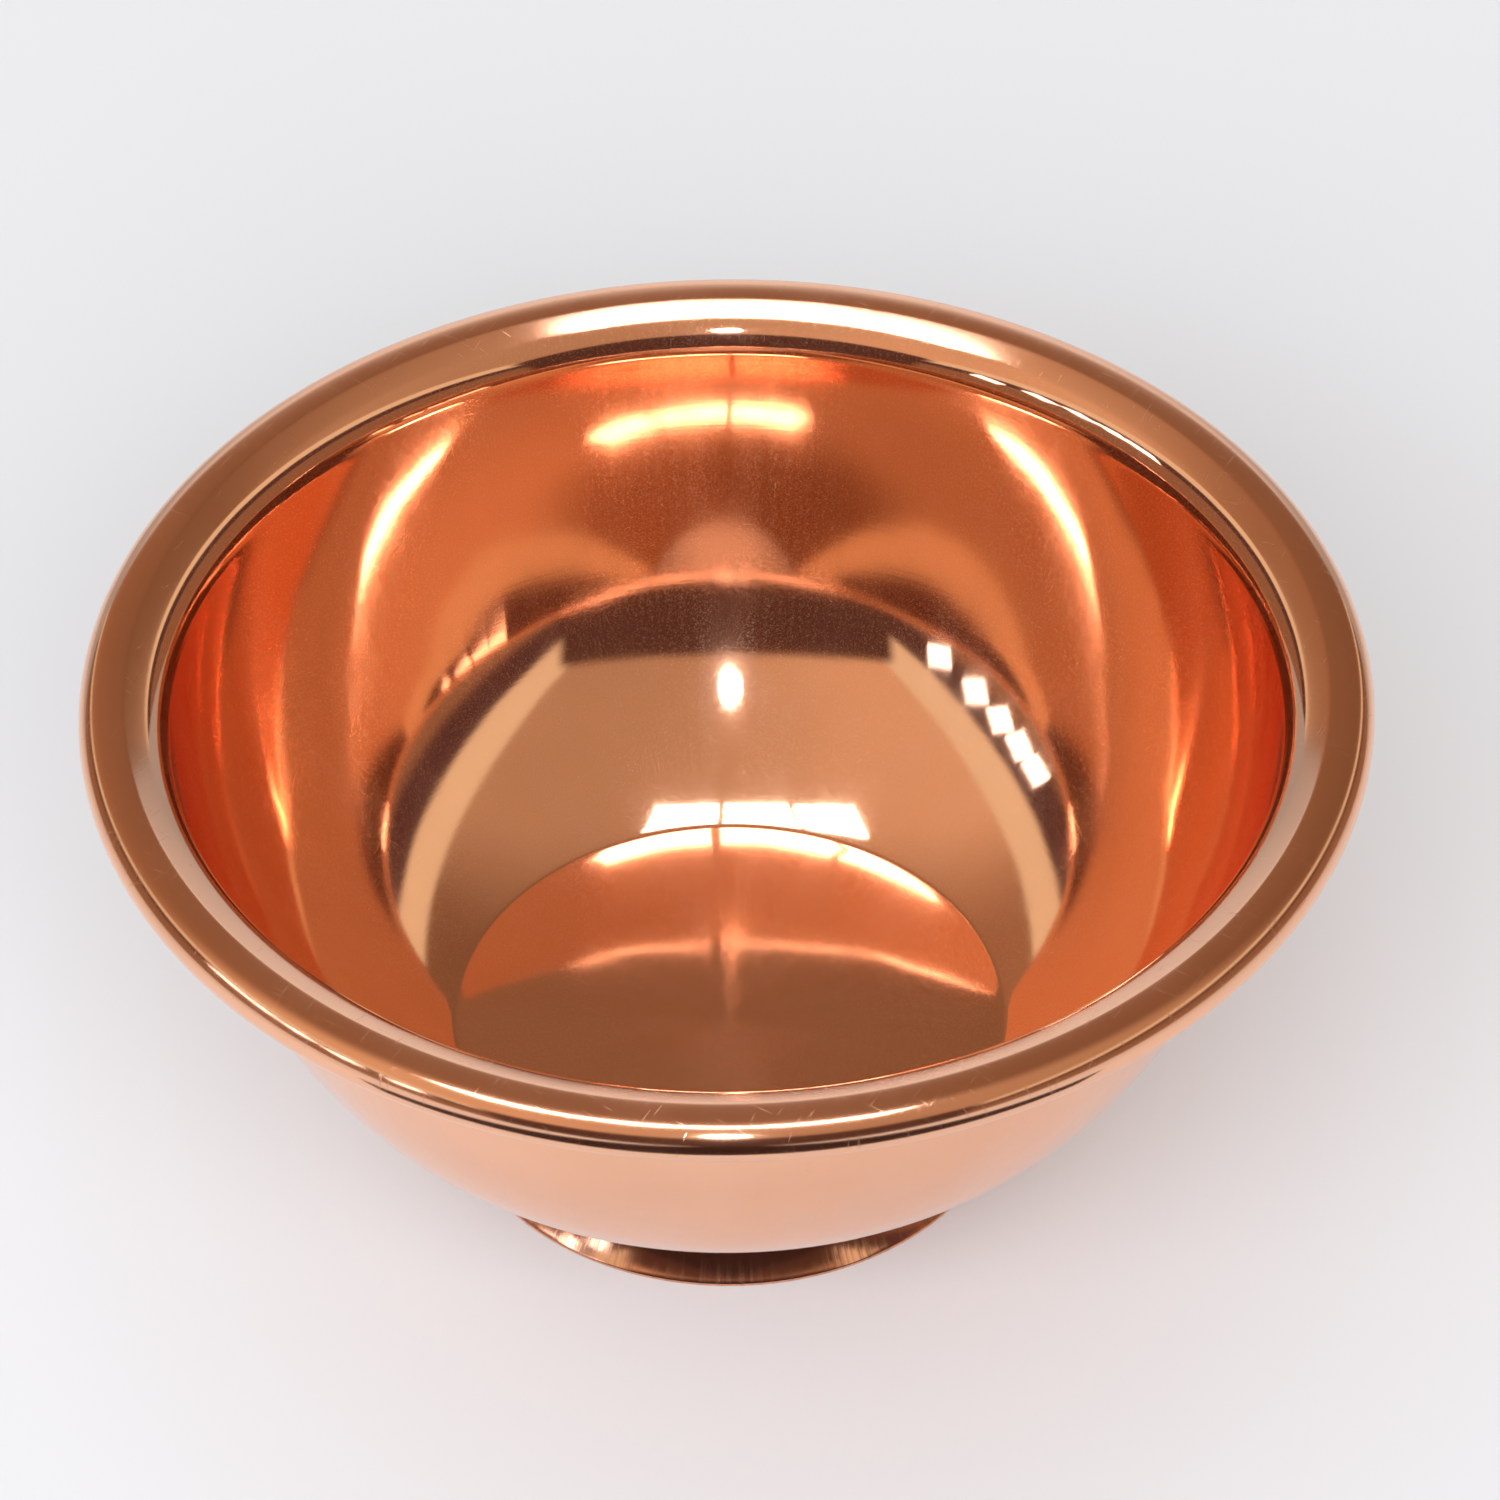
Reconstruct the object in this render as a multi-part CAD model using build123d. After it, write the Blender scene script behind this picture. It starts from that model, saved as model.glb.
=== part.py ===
from build123d import *
import math
import os

# Offering bowl spun from copper sheet: a round bowl with a broad rolled rim, standing on a flared foot ring.
# Sizes in mm, angles in degrees. +Z is up, the origin is on the bowl's axis in the plane that the foot rests on.

# Overall sizes
RIM_DIAMETER = 100.0
HEIGHT = 44.4
FLOOR_DIAMETER = 43.8
FOOT_DIAMETER = 45.0
FOOT_HEIGHT = 7.6
GAUGE = 0.6
FOOT_GAUGE = 0.8

# Slopes of the shell's inside face where one bend ends and the next begins, from the floor up to the rim
FLOOR_BEND_R = 1.2
FLOOR_BEND_ANGLE = 21.5
LOWER_WALL_ANGLE = 61.0
UPPER_WALL_ANGLE = 85.2

# Rim, from the top of the wall outwards: a lip, a narrow bevel that leans in, a crisp arris, a nearly flat crown,
# and a tight roll that curls the edge back under round the wire. Each angle is the slope where that bend ends.
LIP_R = 3.3
LIP_ANGLE = 25.0
BEVEL_R = 17.7
BEVEL_ANGLE = 20.0
ARRIS_R = 0.9
ARRIS_ANGLE = 3.5
CROWN_R = 14.5
CROWN_ANGLE = -3.5
ROLL_R = 1.74
ROLL_ANGLE = -215.0
WIRE_CLEARANCE = 0.03

# Foot ring: how far its top edge stands inside the flat of the floor, how much its flare turns between that edge
# and the table, and the rounding of the edge on the table
NECK_INSET = 3.2
FOOT_FLARE_ANGLE = 31.0
FOOT_EDGE_R = 0.25

# Solder between the neck's top edge and the shell, with a fillet on both sides of the neck
SOLDER_FILM = 0.1
SOLDER_FILLET = 0.5
SOLDER_CLEARANCE = 0.02


def sine(angle):
    return math.sin(math.radians(angle))


def cosine(angle):
    return math.cos(math.radians(angle))


def rim_bends():
    """Radius, and slope at the start and the end, of each bend over the rim, from the wall to the curled edge."""
    return (
        (LIP_R, UPPER_WALL_ANGLE, LIP_ANGLE),
        (BEVEL_R, LIP_ANGLE, BEVEL_ANGLE),
        (ARRIS_R, BEVEL_ANGLE, ARRIS_ANGLE),
        (CROWN_R, ARRIS_ANGLE, CROWN_ANGLE),
        (ROLL_R, CROWN_ANGLE, ROLL_ANGLE),
    )


def wall_radii():
    """Radii of the lower and upper wall that join the floor to the rim across the width and the depth between."""
    run = RIM_DIAMETER / 2 - FLOOR_DIAMETER / 2 - FLOOR_BEND_R * sine(FLOOR_BEND_ANGLE)
    rise = HEIGHT - FOOT_HEIGHT - GAUGE - FLOOR_BEND_R * (1 - cosine(FLOOR_BEND_ANGLE))
    for radius, start, end in rim_bends():
        run -= radius * (sine(start) - sine(max(end, -90)))
        rise -= radius * (cosine(max(end, 0)) - cosine(max(start, 0)))
    low_run = sine(LOWER_WALL_ANGLE) - sine(FLOOR_BEND_ANGLE)
    low_rise = cosine(FLOOR_BEND_ANGLE) - cosine(LOWER_WALL_ANGLE)
    high_run = sine(UPPER_WALL_ANGLE) - sine(LOWER_WALL_ANGLE)
    high_rise = cosine(LOWER_WALL_ANGLE) - cosine(UPPER_WALL_ANGLE)
    scale = low_run * high_rise - high_run * low_rise
    lower = (run * high_rise - high_run * rise) / scale
    upper = (low_run * rise - run * low_rise) / scale
    return lower, upper


def shell_bends():
    """Radius and turn of each bend from the floor to the curled edge; a minus radius curves over, not up."""
    lower, upper = wall_radii()
    wall = (
        (FLOOR_BEND_R, FLOOR_BEND_ANGLE),
        (lower, LOWER_WALL_ANGLE - FLOOR_BEND_ANGLE),
        (upper, UPPER_WALL_ANGLE - LOWER_WALL_ANGLE),
    )
    return wall + tuple((-radius, end - start) for radius, start, end in rim_bends())


def shell_face(depth):
    """One face of the shell's sheet as a chain of tangent arcs, at a depth below the inside face."""
    level = FOOT_HEIGHT + GAUGE - depth
    edges = [Line((0, level), (FLOOR_DIAMETER / 2, level))]
    for radius, turn in shell_bends():
        before = edges[-1]
        edges.append(JernArc(before @ 1, before % 1, abs(radius + depth), turn))
    return edges


def spin(edges):
    """Solid of revolution about Z from a closed chain of edges drawn in the radius-height plane."""
    return revolve(Plane.XZ * make_face(edges), Axis.Z)


def make_shell():
    inside = shell_face(0.0)
    outside = shell_face(GAUGE)
    axis_end = Line(inside[0] @ 0, outside[0] @ 0)
    curl_end = Line(inside[-1] @ 1, outside[-1] @ 1)
    return spin(inside + outside + [axis_end, curl_end])


def make_wire():
    centre = shell_face(0.0)[-1].arc_center
    section = Pos(centre.X, centre.Y) * Circle(ROLL_R - GAUGE - WIRE_CLEARANCE)
    return revolve(Plane.XZ * section, Axis.Z)


NECK_R = FLOOR_DIAMETER / 2 - NECK_INSET
NECK_TOP = FOOT_HEIGHT - SOLDER_FILM


def foot_flare():
    """Outer face of the foot: an arc from the table up to the neck. Rounding its edge later draws the foot in."""
    run = FOOT_DIAMETER / 2 - NECK_R
    lean = math.degrees(math.atan2(run, NECK_TOP)) + FOOT_FLARE_ANGLE / 2
    trim = FOOT_EDGE_R / math.tan(math.radians(90 - lean) / 2) - FOOT_EDGE_R
    chord = math.hypot(run + trim, NECK_TOP)
    return RadiusArc((FOOT_DIAMETER / 2 + trim, 0), (NECK_R, NECK_TOP), chord / 2 / sine(FOOT_FLARE_ANGLE / 2))


def flare_radius_at(height, depth):
    """Distance from the axis to the foot's sheet at a height, at a depth inside its outer face."""
    flare = foot_flare()
    centre = flare.arc_center
    return centre.X - math.sqrt((flare.radius + depth) ** 2 - (height - centre.Y) ** 2)


def make_foot():
    outside = foot_flare()
    low = (flare_radius_at(0, FOOT_GAUGE), 0)
    high = (flare_radius_at(NECK_TOP, FOOT_GAUGE), NECK_TOP)
    middle = (flare_radius_at(NECK_TOP / 2, FOOT_GAUGE), NECK_TOP / 2)
    inside = ThreePointArc(low, middle, high)
    base = Line(outside @ 0, low)
    top = Line(outside @ 1, high)
    ring = spin([outside, inside, base, top])
    edge = ring.edges().filter_by(GeomType.CIRCLE).sort_by(SortBy.RADIUS)[-1]
    return fillet(edge, FOOT_EDGE_R)


def solder_side(depth, outward):
    """Edges of the solder on one side of the neck: down along the neck, then a hollow back up to the shell."""
    low = FOOT_HEIGHT - SOLDER_FILLET
    shoulder = (flare_radius_at(NECK_TOP, depth) + outward * SOLDER_CLEARANCE, NECK_TOP)
    heel = (flare_radius_at(low, depth) + outward * SOLDER_CLEARANCE, low)
    toe = (shoulder[0] + outward * SOLDER_FILLET, FOOT_HEIGHT)
    hollow = RadiusArc(heel, toe, outward * SOLDER_FILLET * 1.2)
    return [Line(shoulder, heel), hollow]


def make_solder():
    outer = solder_side(0.0, 1)
    inner = solder_side(FOOT_GAUGE, -1)
    film = Line(outer[0] @ 0, inner[0] @ 0)
    cover = Line(outer[-1] @ 1, inner[-1] @ 1)
    return spin([film] + inner + [cover] + outer[::-1])


def main():
    os.makedirs("parts", exist_ok=True)
    nodes = {
        "bowl_shell": make_shell(),
        "rim_wire": make_wire(),
        "foot_ring": make_foot(),
        "solder_seam": make_solder(),
    }
    for name, shape in nodes.items():
        shape.label = name
        export_step(shape, f"parts/{name}.step")


main()
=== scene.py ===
import math

import bpy
from mathutils import Matrix, Vector, noise


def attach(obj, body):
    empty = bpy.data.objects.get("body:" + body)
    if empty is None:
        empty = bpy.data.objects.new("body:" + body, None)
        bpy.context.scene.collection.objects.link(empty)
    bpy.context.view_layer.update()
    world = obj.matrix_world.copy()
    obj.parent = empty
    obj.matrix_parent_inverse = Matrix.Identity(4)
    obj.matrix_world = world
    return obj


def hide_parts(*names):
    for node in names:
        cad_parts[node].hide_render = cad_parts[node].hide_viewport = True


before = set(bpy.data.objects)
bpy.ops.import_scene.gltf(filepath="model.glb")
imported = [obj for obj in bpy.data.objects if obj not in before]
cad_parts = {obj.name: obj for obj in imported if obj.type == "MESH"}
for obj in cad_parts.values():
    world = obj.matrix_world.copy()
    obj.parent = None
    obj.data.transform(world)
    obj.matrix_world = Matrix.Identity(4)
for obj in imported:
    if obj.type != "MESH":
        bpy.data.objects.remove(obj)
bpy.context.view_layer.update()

# Offering bowl spun from copper sheet, polished all over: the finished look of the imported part.
# Lengths in metres, angles in degrees. +Z is up, and the bowl stands on Z = 0 with its axis on Z.
MM = 0.001

# Overall sizes
RIM_DIAMETER = 100.0 * MM
HEIGHT = 44.4 * MM
FLOOR_DIAMETER = 43.8 * MM
FOOT_DIAMETER = 45.0 * MM
FOOT_HEIGHT = 7.6 * MM
GAUGE = 0.6 * MM
FOOT_GAUGE = 0.8 * MM

# Slopes of the shell's inside face where one bend ends and the next begins, from the floor up to the rim
FLOOR_BEND_R = 1.2 * MM
FLOOR_BEND_ANGLE = 21.5
LOWER_WALL_ANGLE = 61.0
UPPER_WALL_ANGLE = 85.2

# Rim, from the top of the wall outwards: lip, bevel that leans in, arris, flat crown, roll round the wire
LIP_R = 3.3 * MM
LIP_ANGLE = 25.0
BEVEL_R = 17.7 * MM
BEVEL_ANGLE = 20.0
ARRIS_R = 0.9 * MM
ARRIS_ANGLE = 3.5
CROWN_R = 14.5 * MM
CROWN_ANGLE = -3.5
ROLL_R = 1.74 * MM
ROLL_ANGLE = -215.0
WIRE_CLEARANCE = 0.03 * MM

# Foot ring and the solder that holds it
NECK_INSET = 3.2 * MM
FOOT_FLARE_ANGLE = 31.0
FOOT_EDGE_R = 0.25 * MM
SOLDER_FILM = 0.1 * MM
SOLDER_FILLET = 0.5 * MM
SOLDER_HOLLOW_R = 1.2 * SOLDER_FILLET
SOLDER_CLEARANCE = 0.02 * MM
NECK_R = FLOOR_DIAMETER / 2 - NECK_INSET
NECK_TOP = FOOT_HEIGHT - SOLDER_FILM

# Radii between which the bowl's mirror polish gives way to the rim's satin, and the arris and half its width
MIRROR_R = 44.5 * MM
SATIN_R = 45.0 * MM
ARRIS_EDGE_R = 46.5 * MM
ARRIS_HALF = 0.2 * MM

# Fineness of the turned meshes
TURN_STEPS = 288
WALL_STEP = 0.55 * MM
CURL_STEP = 0.22 * MM
CREASE_ANGLE = 35.0

# Unevenness that polishing by hand leaves in the sheet
RIPPLE_HEIGHT = 0.011 * MM
RIPPLE_LENGTH = 8.0 * MM
RIPPLE_FINE_SHARE = 0.4
RIPPLE_FINENESS = 2.3
RIPPLE_FADE = 3.9 * MM

# Metal colours
POLISHED_COPPER = (0.92, 0.50, 0.32)
DULL_COPPER = (0.84, 0.42, 0.27)
DRAWN_COPPER = (0.80, 0.42, 0.28)
SOLDER_GREY = (0.55, 0.53, 0.49)

# Roughness of the polished copper's zones, and what each kind of mark adds to it
BOWL_ROUGHNESS = 0.05
BEVEL_ROUGHNESS = 0.16
CROWN_ROUGHNESS = 0.12
BUFFING_ROUGHNESS = 0.34
SMEAR_ROUGHNESS = 0.02
SCRATCH_ROUGHNESS = 0.12
SCRATCH_TURNS = (0.6, 2.1)

# Camera: where it stands, what it aims at beside the middle of the rim, and how it leans
CAMERA_DISTANCE = 600.0 * MM
CAMERA_ELEVATION = 41.775
CAMERA_LENS = 186.7
CAMERA_SENSOR = 36.0
AIM_RIGHT = 1.77 * MM
AIM_DOWN = 5.63 * MM
CAMERA_LEAN = 0.484

# Lamps. Angles go over the bowl from the back (0) to the camera's side (180), and sideways from the middle.
# A spread is the width and the depth that a lamp takes up, seen from the bowl.
LAMP_DISTANCE = 2.0
OVERHEAD_ANGLE = 86.5
OVERHEAD_SIDES = (-14.4, -4.2, 6.0)
OVERHEAD_SPREAD = (9.5, 10.0)
OVERHEAD_RADIANCE = 12.0
CAMERA_LAMP_ANGLE = 130.5
CAMERA_LAMP_SIDE = -0.7
CAMERA_LAMP_SPREAD = (4.4, 9.5)
CAMERA_LAMP_RADIANCE = 50.0
PANEL_SLOPE = 1.9
PANEL_ANGLES = (92.0, 106.0, 120.0, 133.0, 146.0)
PANEL_SPREAD = (5.5, 6.4)
PANEL_RADIANCE = 4.5
FILL_ANGLE = 145.0
FILL_SIDE = -6.0
FILL_SPREAD = (80.0, 40.0)
FILL_RADIANCE = 3.55
FILL_COLOUR = (0.96, 1.03, 1.09)
COOL_WHITE = (0.94, 1.0, 1.06)

# Dome that lights the floor, and the directions between which its front and right take over
DOME_COLOUR = (0.70, 0.72, 0.73)
DOME_FRONT = (0.72, 0.73, 0.74)
DOME_RIGHT = (0.36, 0.18, 0.08)
DOME_FRONT_REACH = (0.0, -0.6)
DOME_RIGHT_REACH = (0.25, 0.75)

# Floor, a little below the foot
FLOOR_COLOUR = (0.82, 0.82, 0.83)
FLOOR_ROUGHNESS = 0.35
FLOOR_HALF = 3.0
FLOOR_DROP = 0.02 * MM

# Dark card between the bowl and the camera; its top slopes down towards both ends
CARD_REACH = 85.0 * MM
CARD_HEIGHT = 45.0 * MM
CARD_END_DROP = 0.55
CARD_SPREAD = 46.0
CARD_STEPS = 32
CARD_COLOUR = (0.05, 0.018, 0.014)
CARD_ROUGHNESS = 0.9

# What the metal mirrors: a few plain cards. A pair of limits says where a change starts and is complete.
BACKDROP_COLOUR = (0.9, 0.95, 1.0)
BACKDROP_TOP = 35.0
BACKDROP_EDGE = 1.0
BACKDROP_FALL = 55.0
BACKDROP_SIDE = (5.0, 25.0)
BACKDROP_LEVEL = (1.0, 0.5)
WARM_CARD = (0.65, 0.45, 0.3)
DIM_CARD = (0.3, 0.17, 0.1)
DIM_ANGLE = (90.0, 50.0)
LEVEL_TILT = (-40.0, 20.0)
LEVEL_GAIN = (1.2, 0.8)
PALE_CARD = (0.9, 0.8, 0.6)
PALE_TILT = (46.0, 48.0)
GAP_COLOUR = (0.1, 0.05, 0.05)
GAP_TILT = (55.0, 57.0)
OUTER_TILT = (63.0, 67.0)
SHADE_COLOUR = (0.1, 0.05, 0.04)
SHADE_ANGLE = (140.0, 144.0)
SHADE_SIDE = (37.0, 34.0)
GLOSSY_BOUNCES = 12


# Outlines


def sine(angle):
    return math.sin(math.radians(angle))


def cosine(angle):
    return math.cos(math.radians(angle))


def rim_bends():
    """Radius, and slope at the start and the end, of each bend over the rim, from the wall outwards."""
    return (
        (LIP_R, UPPER_WALL_ANGLE, LIP_ANGLE),
        (BEVEL_R, LIP_ANGLE, BEVEL_ANGLE),
        (ARRIS_R, BEVEL_ANGLE, ARRIS_ANGLE),
        (CROWN_R, ARRIS_ANGLE, CROWN_ANGLE),
        (ROLL_R, CROWN_ANGLE, ROLL_ANGLE),
    )


def wall_radii():
    """Radii of the lower and upper wall that join the floor to the rim in the width and depth between."""
    run = RIM_DIAMETER / 2 - FLOOR_DIAMETER / 2 - FLOOR_BEND_R * sine(FLOOR_BEND_ANGLE)
    rise = HEIGHT - FOOT_HEIGHT - GAUGE - FLOOR_BEND_R * (1 - cosine(FLOOR_BEND_ANGLE))
    for radius, start, end in rim_bends():
        run -= radius * (sine(start) - sine(max(end, -90)))
        rise -= radius * (cosine(max(end, 0)) - cosine(max(start, 0)))
    low_run = sine(LOWER_WALL_ANGLE) - sine(FLOOR_BEND_ANGLE)
    low_rise = cosine(FLOOR_BEND_ANGLE) - cosine(LOWER_WALL_ANGLE)
    high_run = sine(UPPER_WALL_ANGLE) - sine(LOWER_WALL_ANGLE)
    high_rise = cosine(LOWER_WALL_ANGLE) - cosine(UPPER_WALL_ANGLE)
    scale = low_run * high_rise - high_run * low_rise
    return (run * high_rise - high_run * rise) / scale, (low_run * rise - run * low_rise) / scale


def shell_bends():
    """Radius, turn and mesh step of each bend from the floor outwards; a minus radius curves over."""
    lower, upper = wall_radii()
    wall = (
        (FLOOR_BEND_R, FLOOR_BEND_ANGLE, CURL_STEP),
        (lower, LOWER_WALL_ANGLE - FLOOR_BEND_ANGLE, WALL_STEP),
        (upper, UPPER_WALL_ANGLE - LOWER_WALL_ANGLE, WALL_STEP),
    )
    return wall + tuple((-radius, end - start, CURL_STEP) for radius, start, end in rim_bends())


def shell_face(depth):
    """One face of the shell's sheet, at a depth below the inside face: points of radius, height and slope."""
    level = FOOT_HEIGHT + GAUGE - depth
    flat_steps = round(FLOOR_DIAMETER / 2 / WALL_STEP)
    points = [(FLOOR_DIAMETER / 2 * k / flat_steps, level, 0.0) for k in range(flat_steps + 1)]
    for radius, turn, step in shell_bends():
        start_r, start_z, slope = points[-1]
        steps = max(3, round(abs(radius * math.radians(turn)) / step))
        bend = radius + depth
        for k in range(1, steps + 1):
            now = slope + turn * k / steps
            across = bend * (sine(now) - sine(slope))
            upward = bend * (cosine(slope) - cosine(now))
            points.append((start_r + across, start_z + upward, now))
    return points


def wire_centre():
    """Middle of the wire, which is the centre of the roll."""
    across = RIM_DIAMETER / 2 - ROLL_R
    upward = HEIGHT - CROWN_R + (CROWN_R - ROLL_R) * cosine(CROWN_ANGLE)
    return across, upward


def arc_points(centre, radius, start, end, step):
    """Points on an arc from one angle to another about a centre in the radius-height plane."""
    steps = max(4, round(abs(math.radians(end - start)) * radius / step))
    angles = [start + (end - start) * k / steps for k in range(steps + 1)]
    return [(centre[0] + radius * cosine(a), centre[1] + radius * sine(a)) for a in angles]


def foot_flare():
    """Centre and radius of the foot's outer face, which starts on the table before its edge is rounded."""
    run = FOOT_DIAMETER / 2 - NECK_R
    lean = math.degrees(math.atan2(run, NECK_TOP)) + FOOT_FLARE_ANGLE / 2
    trim = FOOT_EDGE_R / math.tan(math.radians(90 - lean) / 2) - FOOT_EDGE_R
    start = FOOT_DIAMETER / 2 + trim
    chord = Vector((NECK_R - start, NECK_TOP))
    radius = chord.length / 2 / sine(FOOT_FLARE_ANGLE / 2)
    away = Vector((chord.y, -chord.x)).normalized() * radius * cosine(FOOT_FLARE_ANGLE / 2)
    centre = Vector((start, 0)) + chord / 2 + away
    return centre, radius


def flare_radius_at(height, depth):
    """Distance from the axis to the foot's sheet at a height, at a depth inside its outer face."""
    centre, radius = foot_flare()
    return centre.x - math.sqrt((radius + depth) ** 2 - (height - centre.y) ** 2)


def flare_points(depth, low, high):
    """Points up the foot's sheet between two heights, at a depth inside its outer face."""
    centre, radius = foot_flare()
    radius += depth
    angles = [180 + math.degrees(math.asin((centre.y - z) / radius)) for z in (low, high)]
    return arc_points(centre, radius, angles[0], angles[1], CURL_STEP)


def foot_outline():
    """Closed outline of the foot ring: its base, rounded edge, outer flare, top edge and inner face."""
    centre, radius = foot_flare()
    edge = Vector((flare_radius_at(FOOT_EDGE_R, FOOT_EDGE_R), FOOT_EDGE_R))
    touch = centre + (edge - centre).normalized() * radius
    turn = math.degrees(math.atan2(touch.y - edge.y, touch.x - edge.x))
    rounding = arc_points(edge, FOOT_EDGE_R, -90, turn, FOOT_EDGE_R / 6)
    outside = flare_points(0.0, touch.y, NECK_TOP)
    inside = flare_points(FOOT_GAUGE, NECK_TOP, 0.0)
    return rounding + outside[1:] + inside


def solder_side(depth, outward):
    """The solder's hollow face on one side of the neck, from the neck up to the shell."""
    low = FOOT_HEIGHT - SOLDER_FILLET
    shoulder = flare_radius_at(NECK_TOP, depth) + outward * SOLDER_CLEARANCE
    heel = Vector((flare_radius_at(low, depth) + outward * SOLDER_CLEARANCE, low))
    toe = Vector((shoulder + outward * SOLDER_FILLET, FOOT_HEIGHT))
    radius = SOLDER_HOLLOW_R
    chord = toe - heel
    away = Vector((chord.y, -chord.x)).normalized() * outward
    centre = heel + chord / 2 + away * math.sqrt(radius ** 2 - chord.length_squared / 4)
    angles = [math.degrees(math.atan2(p.y - centre.y, p.x - centre.x)) % 360 for p in (heel, toe)]
    return [(shoulder, NECK_TOP)] + arc_points(centre, radius, angles[0], angles[1], SOLDER_FILLET / 8)


# Turned meshes


def turned_piece(name, outline, closed, body="root"):
    """Mesh that turns an outline of radius and height about Z; an open one starts and ends on the axis."""
    vertices, rings = [], []
    for point in outline:
        count = TURN_STEPS if point[0] > 0 else 1
        rings.append((len(vertices), count))
        for k in range(count):
            angle = 360 * k / TURN_STEPS
            vertices.append(placed(point, angle))
    faces = []
    pairs = list(zip(rings, rings[1:] + rings[:1])) if closed else list(zip(rings, rings[1:]))
    for (first, first_count), (second, second_count) in pairs:
        for k in range(TURN_STEPS):
            after = (k + 1) % TURN_STEPS
            corners = [first + k % first_count, first + after % first_count]
            corners += [second + after % second_count, second + k % second_count]
            faces.append(list(dict.fromkeys(corners)))
    mesh = bpy.data.meshes.new(name)
    mesh.from_pydata(vertices, [], faces)
    mesh.validate()
    mesh.shade_smooth()
    mesh.set_sharp_from_angle(angle=math.radians(CREASE_ANGLE))
    piece = bpy.data.objects.new(name, mesh)
    bpy.context.scene.collection.objects.link(piece)
    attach(piece, body)
    return piece


def placed(point, angle):
    """A point of an outline turned to an angle, with the sheet's unevenness where the point has a slope."""
    across, upward = point[0], point[1]
    if len(point) == 3:
        spot = Vector((across * cosine(angle), across * sine(angle), upward)) / RIPPLE_LENGTH
        fade = min(1.0, max(0.0, (HEIGHT - RIPPLE_FADE - upward) / RIPPLE_FADE))
        fine = RIPPLE_FINE_SHARE * noise.noise(spot * RIPPLE_FINENESS)
        lift = RIPPLE_HEIGHT * fade * (noise.noise(spot) + fine)
        across -= lift * sine(point[2]) if across > 0 else 0.0
        upward += lift * cosine(point[2])
    return across * cosine(angle), across * sine(angle), upward


def make_shell():
    inside = shell_face(0.0)
    outside = shell_face(GAUGE)
    shell = turned_piece("polished_shell", inside + outside[::-1], closed=False)
    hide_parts("bowl_shell")
    return shell


def make_wire():
    outline = arc_points(wire_centre(), ROLL_R - GAUGE - WIRE_CLEARANCE, 0, 360, CURL_STEP)[:-1]
    wire = turned_piece("rim_core_wire", outline, closed=True)
    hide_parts("rim_wire")
    return wire


def make_foot():
    foot = turned_piece("flared_foot", foot_outline(), closed=True)
    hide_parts("foot_ring")
    return foot


def make_solder():
    outline = solder_side(0.0, 1) + solder_side(FOOT_GAUGE, -1)[::-1]
    solder = turned_piece("foot_solder", outline, closed=True)
    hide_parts("solder_seam")
    return solder


# Shader nodes


def node(tree, kind, inputs=(), **settings):
    """New node of a kind, with its settings, and its inputs set to values or linked to outputs."""
    made = tree.nodes.new("ShaderNode" + kind)
    for name, value in settings.items():
        setattr(made, name, value)
    for key, value in dict(inputs).items():
        if isinstance(value, bpy.types.NodeSocket):
            tree.links.new(value, made.inputs[key])
        else:
            made.inputs[key].default_value = value
    return made


def maths(tree, operation, *values):
    return node(tree, "Math", enumerate(values), operation=operation).outputs[0]


def eased(tree, value, low, high, start=0.0, end=1.0):
    """Smooth step of a value, from start at low to end at high."""
    limits = {"Value": value, "From Min": low, "From Max": high, "To Min": start, "To Max": end}
    return node(tree, "MapRange", limits, interpolation_type="SMOOTHSTEP").outputs["Result"]


def blended(tree, factor, first, second, kind="MIX"):
    """Two colours mixed or multiplied."""
    return node(tree, "Mix", {0: factor, 6: first, 7: second}, data_type="RGBA", blend_type=kind).outputs[2]


def opaque(colour):
    return (*colour, 1)


def shared_group(name, inputs, outputs):
    """Empty node group with named value inputs, which have defaults, and named value outputs."""
    group = bpy.data.node_groups.new(name, "ShaderNodeTree")
    for label, default in inputs.items():
        socket = group.interface.new_socket(label, in_out="INPUT", socket_type="NodeSocketFloat")
        socket.default_value = default
    for label in outputs:
        group.interface.new_socket(label, in_out="OUTPUT", socket_type="NodeSocketFloat")
    start = group.nodes.new("NodeGroupInput")
    end = group.nodes.new("NodeGroupOutput")
    return group, start.outputs, end.inputs


def use_group(tree, name, **values):
    """Place a shared group in a material with its own values; underscores in the names stand for spaces."""
    placed_group = tree.nodes.new("ShaderNodeGroup")
    placed_group.node_tree = bpy.data.node_groups[name]
    for label, value in values.items():
        placed_group.inputs[label.replace("_", " ")].default_value = value
    return placed_group.outputs


def around_axis(tree):
    """Point on the surface, the same laid flat, its distance from the bowl's axis, and its height."""
    point = node(tree, "TexCoord").outputs["Object"]
    split = node(tree, "SeparateXYZ", {0: point}).outputs
    flat = node(tree, "CombineXYZ", {"X": split["X"], "Y": split["Y"]}).outputs[0]
    radius = node(tree, "VectorMath", {0: flat}, operation="LENGTH").outputs["Value"]
    return point, flat, radius, split["Z"]


def drawn_out_place(tree, bearing_scale, course_scale):
    """Place for noise drawn out one way: the bearing round the axis, and the course along the sheet."""
    flat, radius, height = around_axis(tree)[1:]
    outward = node(tree, "VectorMath", {0: flat}, operation="NORMALIZE").outputs[0]
    bearing = node(tree, "VectorMath", {0: outward, "Scale": bearing_scale}, operation="SCALE").outputs[0]
    course = maths(tree, "MULTIPLY", maths(tree, "ADD", radius, height), course_scale)
    lift = node(tree, "CombineXYZ", {"Z": course}).outputs[0]
    return node(tree, "VectorMath", {0: bearing, 1: lift}, operation="ADD").outputs[0]


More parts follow.
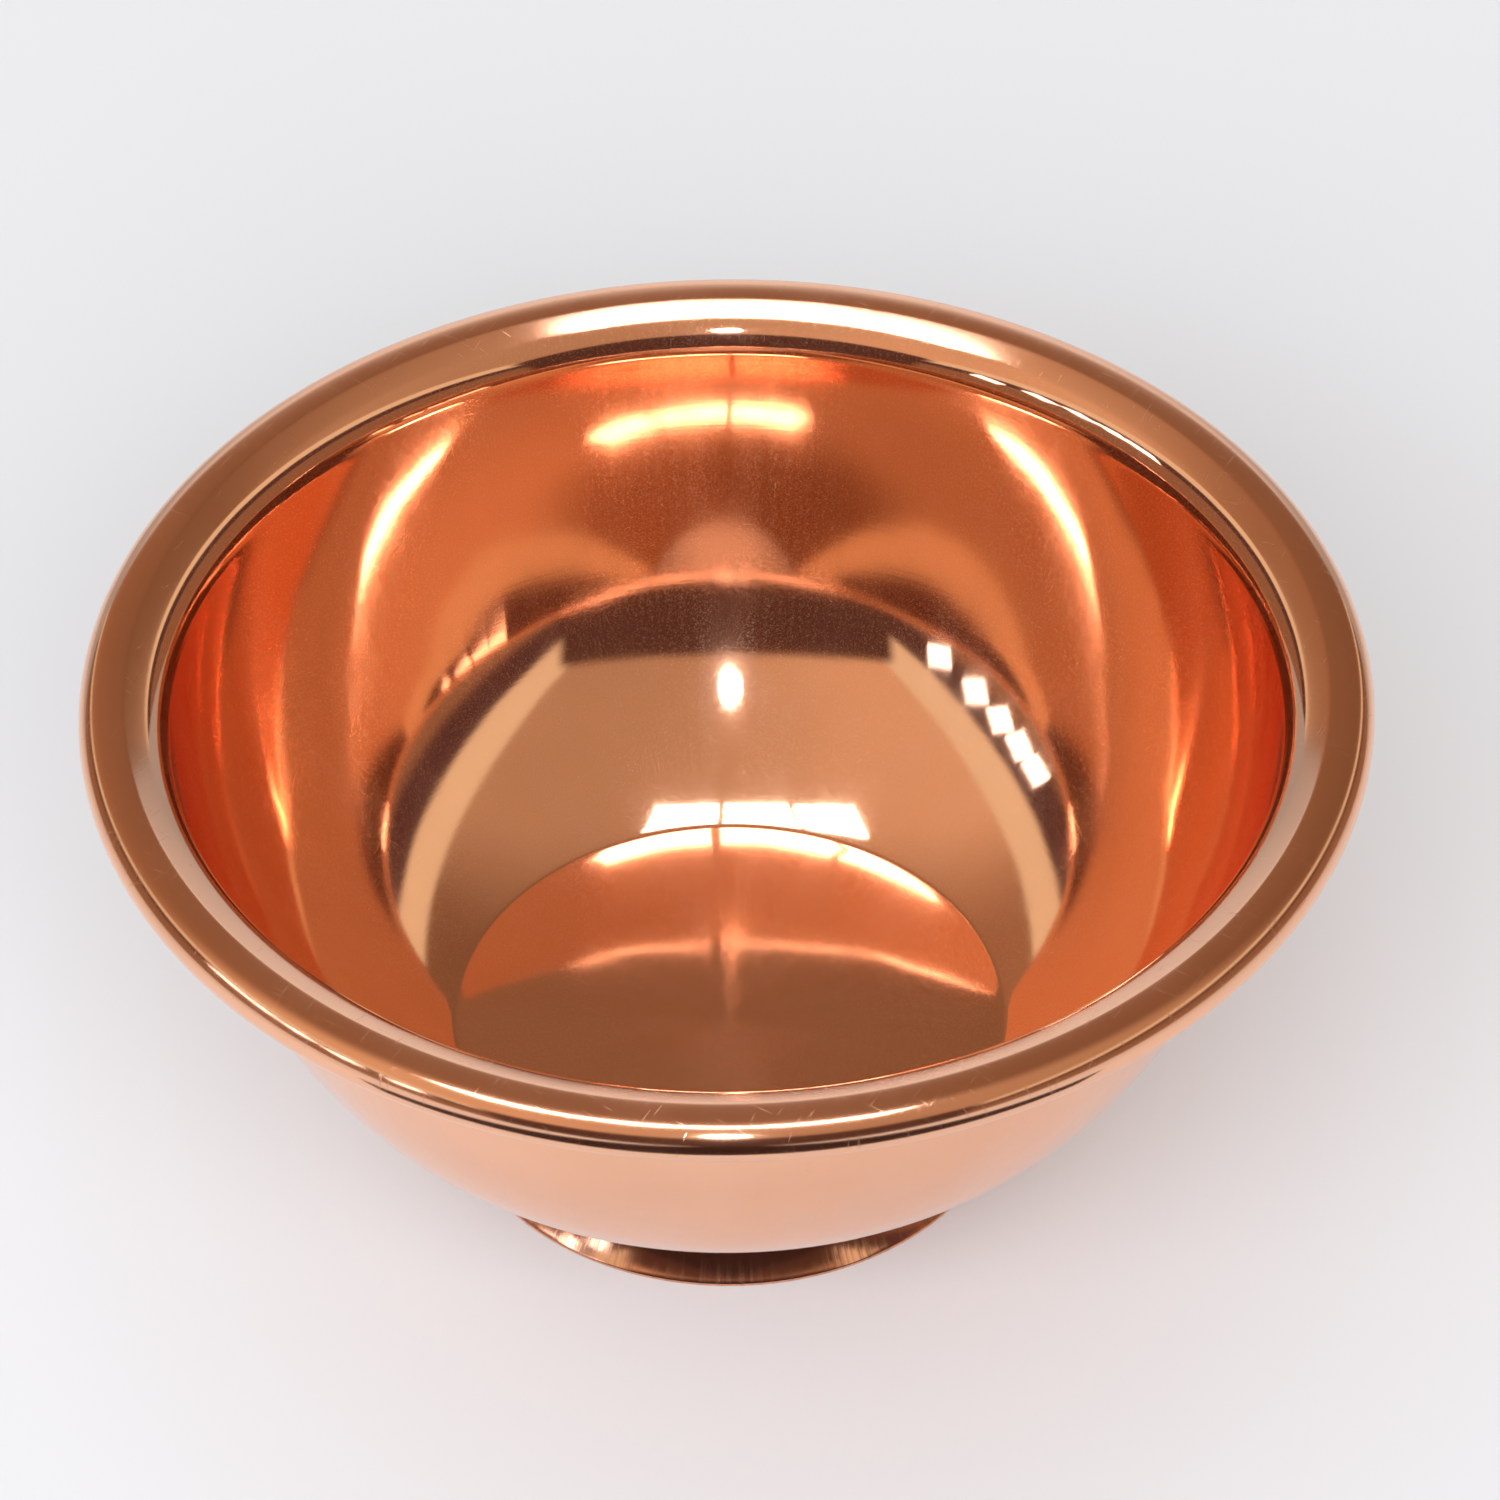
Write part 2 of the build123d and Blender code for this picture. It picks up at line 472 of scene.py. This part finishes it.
def make_tone_group():
    """Slow changes of tone over the metal, lighter and darker than one."""
    group, given, result = shared_group("metal_tone", {"Scale": 60.0, "Depth": 0.05}, ("Shade",))
    point = around_axis(group)[0]
    settings = {"Vector": point, "Scale": given["Scale"], "Detail": 4.0, "Roughness": 0.6}
    cloud = node(group, "TexNoise", settings)
    lift = maths(group, "SUBTRACT", cloud.outputs["Fac"], 0.5)
    group.links.new(maths(group, "MULTIPLY_ADD", lift, given["Depth"], 1.0), result["Shade"])


def make_turning_group():
    """Fine lines left round the axis by spinning and buffing: their relief, and the few cut deepest."""
    inputs = {"Lines": 2600.0, "Wander": 3.0}
    group, given, result = shared_group("turning_marks", inputs, ("Height", "Deepest"))
    place = drawn_out_place(group, given["Wander"], given["Lines"])
    lines = node(group, "TexNoise", {"Vector": place, "Scale": 1.0, "Detail": 3.0, "Roughness": 0.55})
    group.links.new(lines.outputs["Fac"], result["Height"])
    group.links.new(eased(group, lines.outputs["Fac"], 0.6, 0.7), result["Deepest"])


def make_scratch_group():
    """Sparse short hairlines in two directions from handling."""
    inputs = {"Fineness": 5200.0, "Length": 330.0, "Amount": 0.3}
    group, given, result = shared_group("handling_scratches", inputs, ("Mask",))
    point = around_axis(group)[0]
    strokes = []
    for turn in SCRATCH_TURNS:
        turned = node(group, "VectorRotate", {"Vector": point, "Angle": turn}, rotation_type="Z_AXIS")
        split = node(group, "SeparateXYZ", {0: turned.outputs[0]}).outputs
        along = maths(group, "MULTIPLY", split["X"], given["Length"])
        across = maths(group, "MULTIPLY", split["Y"], given["Fineness"])
        rise = maths(group, "MULTIPLY", split["Z"], given["Length"])
        place = node(group, "CombineXYZ", {"X": along, "Y": across, "Z": rise}).outputs[0]
        grain = node(group, "TexNoise", {"Vector": place, "Scale": 1.0, "Detail": 2.0}).outputs["Fac"]
        floor = maths(group, "SUBTRACT", 0.82, maths(group, "MULTIPLY", given["Amount"], 0.3))
        strokes.append(eased(group, grain, floor, maths(group, "ADD", floor, 0.08)))
    group.links.new(maths(group, "MAXIMUM", *strokes), result["Mask"])


def make_wiping_group():
    """Faint smears from wiping, drawn out up and down the bowl."""
    inputs = {"Width": 3.2, "Length": 28.0}
    group, given, result = shared_group("wiping_smears", inputs, ("Mask",))
    place = drawn_out_place(group, given["Width"], given["Length"])
    smear = node(group, "TexNoise", {"Vector": place, "Scale": 2.0, "Detail": 5.0, "Roughness": 0.62})
    group.links.new(eased(group, smear.outputs["Fac"], 0.4, 0.72), result["Mask"])


# Materials


def new_material(name):
    material = bpy.data.materials.new(name)
    material.use_nodes = True
    tree = material.node_tree
    tree.nodes.clear()
    output = node(tree, "OutputMaterial")
    shader = node(tree, "BsdfPrincipled")
    tree.links.new(shader.outputs[0], output.inputs["Surface"])
    return material, tree, shader


def set_shader(tree, shader, **values):
    """Set or link the shader's sockets; underscores in the names stand for spaces."""
    for label, value in values.items():
        socket = shader.inputs[label.replace("_", " ")]
        if isinstance(value, bpy.types.NodeSocket):
            tree.links.new(value, socket)
        else:
            socket.default_value = value


def grey(tree, value):
    return node(tree, "CombineColor", {0: value, 1: value, 2: value}).outputs[0]


def shaded(tree, colour, shade):
    """A colour made lighter or darker by a value near one."""
    return blended(tree, 1.0, opaque(colour), grey(tree, shade), "MULTIPLY")


def bumped(tree, height, strength, distance):
    return node(tree, "Bump", {"Height": height, "Strength": strength, "Distance": distance}).outputs[0]


def make_polished_copper():
    """Mirror polish with buffing lines that draw lights into streaks, and a satin rim where hands rub it."""
    material, tree, shader = new_material("polished_copper")
    radius = around_axis(tree)[2]
    rim = eased(tree, radius, MIRROR_R, SATIN_R)
    bowl = maths(tree, "SUBTRACT", 1.0, rim)
    shade = use_group(tree, "metal_tone", Scale=90.0, Depth=0.12)["Shade"]
    lines = use_group(tree, "turning_marks", Lines=2600.0, Wander=3.0)["Height"]
    buffing = use_group(tree, "turning_marks", Lines=40000.0, Wander=300.0)["Deepest"]
    scratches = use_group(tree, "handling_scratches", Fineness=5200.0, Length=330.0, Amount=0.5)["Mask"]
    smears = use_group(tree, "wiping_smears", Width=3.2, Length=28.0)["Mask"]
    worn = maths(tree, "MULTIPLY", scratches, rim)
    crown = eased(tree, radius, ARRIS_EDGE_R - ARRIS_HALF, ARRIS_EDGE_R + ARRIS_HALF)
    bevelled = maths(tree, "MULTIPLY_ADD", rim, BEVEL_ROUGHNESS - BOWL_ROUGHNESS, BOWL_ROUGHNESS)
    satin = maths(tree, "MULTIPLY_ADD", crown, CROWN_ROUGHNESS - BEVEL_ROUGHNESS, bevelled)
    streaked = maths(tree, "MULTIPLY_ADD", maths(tree, "MULTIPLY", buffing, bowl), BUFFING_ROUGHNESS, satin)
    smeared = maths(tree, "MULTIPLY_ADD", smears, SMEAR_ROUGHNESS, streaked)
    roughness = maths(tree, "MULTIPLY_ADD", worn, SCRATCH_ROUGHNESS, smeared)
    relief = maths(tree, "MULTIPLY_ADD", worn, -1.5, lines)
    set_shader(
        tree, shader,
        Base_Color=shaded(tree, POLISHED_COPPER, shade),
        Metallic=1.0,
        Roughness=roughness,
        Anisotropic=0.9,
        Anisotropic_Rotation=0.25,
        Tangent=node(tree, "Tangent", direction_type="RADIAL", axis="Z").outputs[0],
        Coat_Weight=maths(tree, "MULTIPLY", maths(tree, "MULTIPLY", smears, bowl), 0.3),
        Coat_Roughness=0.3,
        Normal=bumped(tree, relief, 0.05, 0.02 * MM),
    )
    return material


def make_foot_copper():
    """Duller copper with fine upright streaks."""
    material, tree, shader = new_material("foot_copper")
    shade = use_group(tree, "metal_tone", Scale=160.0, Depth=0.35)["Shade"]
    streaks = use_group(tree, "wiping_smears", Width=26.0, Length=40.0)["Mask"]
    scratches = use_group(tree, "handling_scratches", Fineness=4200.0, Length=300.0, Amount=0.35)["Mask"]
    dulled = maths(tree, "MULTIPLY_ADD", streaks, 0.10, 0.10)
    set_shader(
        tree, shader,
        Base_Color=shaded(tree, DULL_COPPER, maths(tree, "MULTIPLY_ADD", streaks, -0.25, shade)),
        Metallic=1.0,
        Roughness=maths(tree, "MULTIPLY_ADD", scratches, SCRATCH_ROUGHNESS, dulled),
        Normal=bumped(tree, streaks, 0.08, 0.03 * MM),
    )
    return material


def make_drawn_copper():
    """Plain wire, drawn through a die and dulled."""
    material, tree, shader = new_material("drawn_copper")
    shade = use_group(tree, "metal_tone", Scale=220.0, Depth=0.3)["Shade"]
    lines = use_group(tree, "turning_marks", Lines=5200.0, Wander=8.0)["Height"]
    set_shader(
        tree, shader,
        Base_Color=shaded(tree, DRAWN_COPPER, shade),
        Metallic=1.0,
        Roughness=maths(tree, "MULTIPLY_ADD", lines, 0.2, 0.18),
        Normal=bumped(tree, lines, 0.15, 0.03 * MM),
    )
    return material


def make_solder_grey():
    """Dull grey tin, a little lumpy."""
    material, tree, shader = new_material("solder_grey")
    shade = use_group(tree, "metal_tone", Scale=700.0, Depth=0.5)["Shade"]
    smears = use_group(tree, "wiping_smears", Width=14.0, Length=60.0)["Mask"]
    set_shader(
        tree, shader,
        Base_Color=shaded(tree, SOLDER_GREY, shade),
        Metallic=1.0,
        Roughness=maths(tree, "MULTIPLY_ADD", smears, 0.2, 0.32),
        Normal=bumped(tree, shade, 0.4, 0.1 * MM),
    )
    return material


# Studio


def make_floor():
    mesh = bpy.data.meshes.new("studio_floor")
    corners = [(x * FLOOR_HALF, y * FLOOR_HALF, 0) for x, y in ((-1, -1), (1, -1), (1, 1), (-1, 1))]
    mesh.from_pydata(corners, [], [(0, 1, 2, 3)])
    floor = bpy.data.objects.new("studio_floor", mesh)
    floor.location.z = -FLOOR_DROP
    bpy.context.scene.collection.objects.link(floor)
    material, tree, shader = new_material("floor_white")
    set_shader(tree, shader, Base_Color=opaque(FLOOR_COLOUR), Roughness=FLOOR_ROUGHNESS)
    mesh.materials.append(material)
    return floor


def make_dark_card():
    """Dark card that stands round the camera's side, highest in the middle, seen only in the metal."""
    vertices = []
    for k in range(CARD_STEPS + 1):
        sideways = 2 * k / CARD_STEPS - 1
        angle = -90 + CARD_SPREAD * sideways
        top = CARD_HEIGHT * (1 - CARD_END_DROP * abs(sideways))
        for z in (0, top):
            vertices.append((CARD_REACH * cosine(angle), CARD_REACH * sine(angle), z))
    faces = [(2 * k, 2 * k + 2, 2 * k + 3, 2 * k + 1) for k in range(CARD_STEPS)]
    mesh = bpy.data.meshes.new("dark_card")
    mesh.from_pydata(vertices, [], faces)
    card = bpy.data.objects.new("dark_card", mesh)
    bpy.context.scene.collection.objects.link(card)
    card.visible_camera = False
    card.visible_diffuse = False
    card.visible_shadow = False
    material, tree, shader = new_material("card_black")
    set_shader(tree, shader, Base_Color=opaque(CARD_COLOUR), Roughness=CARD_ROUGHNESS)
    mesh.materials.append(material)
    return card


def make_lamp(name, angle, side, spread, radiance, colour, shape="RECTANGLE"):
    """Soft lamp that faces the bowl, from its direction and the width and depth that it takes up."""
    outward = Vector((sine(side), cosine(side) * cosine(angle), cosine(side) * sine(angle)))
    width, depth = (2 * LAMP_DISTANCE * math.tan(math.radians(part / 2)) for part in spread)
    area = width * depth * (math.pi / 4 if shape == "ELLIPSE" else 1)
    lamp = bpy.data.lights.new(name, "AREA")
    lamp.shape = shape
    lamp.size, lamp.size_y = width, depth
    lamp.energy = radiance * math.pi * area
    lamp.color = colour
    across = (Vector((1, 0, 0)) - outward * outward.x).normalized()
    facing = Matrix((across, outward.cross(across), outward)).transposed().to_4x4()
    holder = bpy.data.objects.new(name, lamp)
    holder.matrix_world = Matrix.Translation(outward * LAMP_DISTANCE + Vector((0, 0, HEIGHT / 2))) @ facing
    holder.visible_camera = False
    bpy.context.scene.collection.objects.link(holder)
    return holder


def make_lamps():
    """Soft boxes that the metal mirrors overhead, above the camera and at one side, and a floor fill."""
    mirrored = []
    for k, side in enumerate(OVERHEAD_SIDES):
        name = f"overhead_box_{k + 1}"
        mirrored.append(make_lamp(name, OVERHEAD_ANGLE, side, OVERHEAD_SPREAD, OVERHEAD_RADIANCE, COOL_WHITE))
    for k, angle in enumerate(PANEL_ANGLES):
        side = -math.degrees(math.atan(PANEL_SLOPE * sine(angle)))
        mirrored.append(make_lamp(f"side_box_{k + 1}", angle, side, PANEL_SPREAD, PANEL_RADIANCE, COOL_WHITE))
    place = (CAMERA_LAMP_ANGLE, CAMERA_LAMP_SIDE, CAMERA_LAMP_SPREAD)
    mirrored.append(make_lamp("camera_lamp", *place, CAMERA_LAMP_RADIANCE, COOL_WHITE, "ELLIPSE"))
    for lamp in mirrored:
        lamp.visible_diffuse = False
    fill = make_lamp("fill_box", FILL_ANGLE, FILL_SIDE, FILL_SPREAD, FILL_RADIANCE, FILL_COLOUR)
    fill.visible_glossy = False


def warm_surround(tree, angle, tilt):
    """Warm card over the bowl, dim at the back and lighter on the left, between pale cards and dark gaps."""
    over = blended(tree, eased(tree, angle, *DIM_ANGLE), opaque(WARM_CARD), opaque(DIM_CARD))
    level = grey(tree, eased(tree, tilt, *LEVEL_TILT, *LEVEL_GAIN))
    warm = blended(tree, 1.0, over, level, "MULTIPLY")
    from_top = maths(tree, "ABSOLUTE", tilt)
    with_pale = blended(tree, eased(tree, from_top, *PALE_TILT), warm, opaque(PALE_CARD))
    with_gap = blended(tree, eased(tree, from_top, *GAP_TILT), with_pale, opaque(GAP_COLOUR))
    return blended(tree, eased(tree, from_top, *OUTER_TILT), with_gap, opaque(DIM_CARD))


def mirrored_surround(tree):
    """What the metal mirrors: a pale backdrop behind, a warm surround, and a dark card behind the camera."""
    x, y, z = node(tree, "SeparateXYZ", {0: node(tree, "TexCoord").outputs["Generated"]}).outputs
    angle = maths(tree, "DEGREES", maths(tree, "ARCTAN2", z, y))
    side = maths(tree, "ABSOLUTE", maths(tree, "DEGREES", maths(tree, "ARCSINE", x)))
    tilt = maths(tree, "DEGREES", maths(tree, "ARCTAN2", x, z))
    shade = maths(tree, "MULTIPLY", eased(tree, angle, *SHADE_ANGLE), eased(tree, side, *SHADE_SIDE))
    with_shade = blended(tree, shade, warm_surround(tree, angle, tilt), opaque(SHADE_COLOUR))
    fall = maths(tree, "MULTIPLY_ADD", maths(tree, "MULTIPLY", x, x), BACKDROP_FALL, angle)
    backdrop = eased(tree, fall, BACKDROP_TOP + BACKDROP_EDGE, BACKDROP_TOP - BACKDROP_EDGE)
    pale = shaded(tree, BACKDROP_COLOUR, eased(tree, side, *BACKDROP_SIDE, *BACKDROP_LEVEL))
    return blended(tree, backdrop, with_shade, pale)


def soft_dome(tree):
    """What lights the floor: a soft dome, a little brighter in front, and dim and warm on the right."""
    place = node(tree, "SeparateXYZ", {0: node(tree, "TexCoord").outputs["Generated"]}).outputs
    front = eased(tree, place["Y"], *DOME_FRONT_REACH)
    right = eased(tree, place["X"], *DOME_RIGHT_REACH)
    dome = blended(tree, front, opaque(DOME_COLOUR), opaque(DOME_FRONT))
    return blended(tree, right, dome, opaque(DOME_RIGHT))


def make_world():
    """The surround for the metal's reflections, and a soft dome that lights the floor."""
    world = bpy.data.worlds.new("studio_surround")
    world.use_nodes = True
    bpy.context.scene.world = world
    tree = world.node_tree
    tree.nodes.clear()
    mirrored = node(tree, "LightPath").outputs["Is Glossy Ray"]
    colour = blended(tree, mirrored, soft_dome(tree), mirrored_surround(tree))
    background = node(tree, "Background", {"Color": colour})
    output = node(tree, "OutputWorld")
    tree.links.new(background.outputs[0], output.inputs["Surface"])


def make_camera():
    camera = bpy.data.cameras.new("camera")
    camera.lens = CAMERA_LENS
    camera.sensor_width = CAMERA_SENSOR
    holder = bpy.data.objects.new("camera", camera)
    back = Vector((0, -cosine(CAMERA_ELEVATION), sine(CAMERA_ELEVATION)))
    middle = Vector((0, 0, HEIGHT))
    upward = Vector((0, sine(CAMERA_ELEVATION), cosine(CAMERA_ELEVATION)))
    place = middle + back * CAMERA_DISTANCE
    aim = middle + Vector((AIM_RIGHT, 0, 0)) - upward * AIM_DOWN
    turn = (aim - place).to_track_quat("-Z", "Y").to_matrix().to_4x4()
    lean = Matrix.Rotation(math.radians(-CAMERA_LEAN), 4, "Z")
    holder.matrix_world = Matrix.Translation(place) @ turn @ lean
    bpy.context.scene.collection.objects.link(holder)
    bpy.context.scene.camera = holder


def dress():
    for make_group in (make_tone_group, make_turning_group, make_scratch_group, make_wiping_group):
        make_group()
    finishes = (
        (make_shell(), make_polished_copper()),
        (make_foot(), make_foot_copper()),
        (make_wire(), make_drawn_copper()),
        (make_solder(), make_solder_grey()),
    )
    for piece, material in finishes:
        piece.data.materials.append(material)


scene = bpy.context.scene
scene.view_settings.view_transform = "Standard"
scene.cycles.glossy_bounces = GLOSSY_BOUNCES
dress()
make_floor()
make_dark_card()
make_lamps()
make_world()
make_camera()
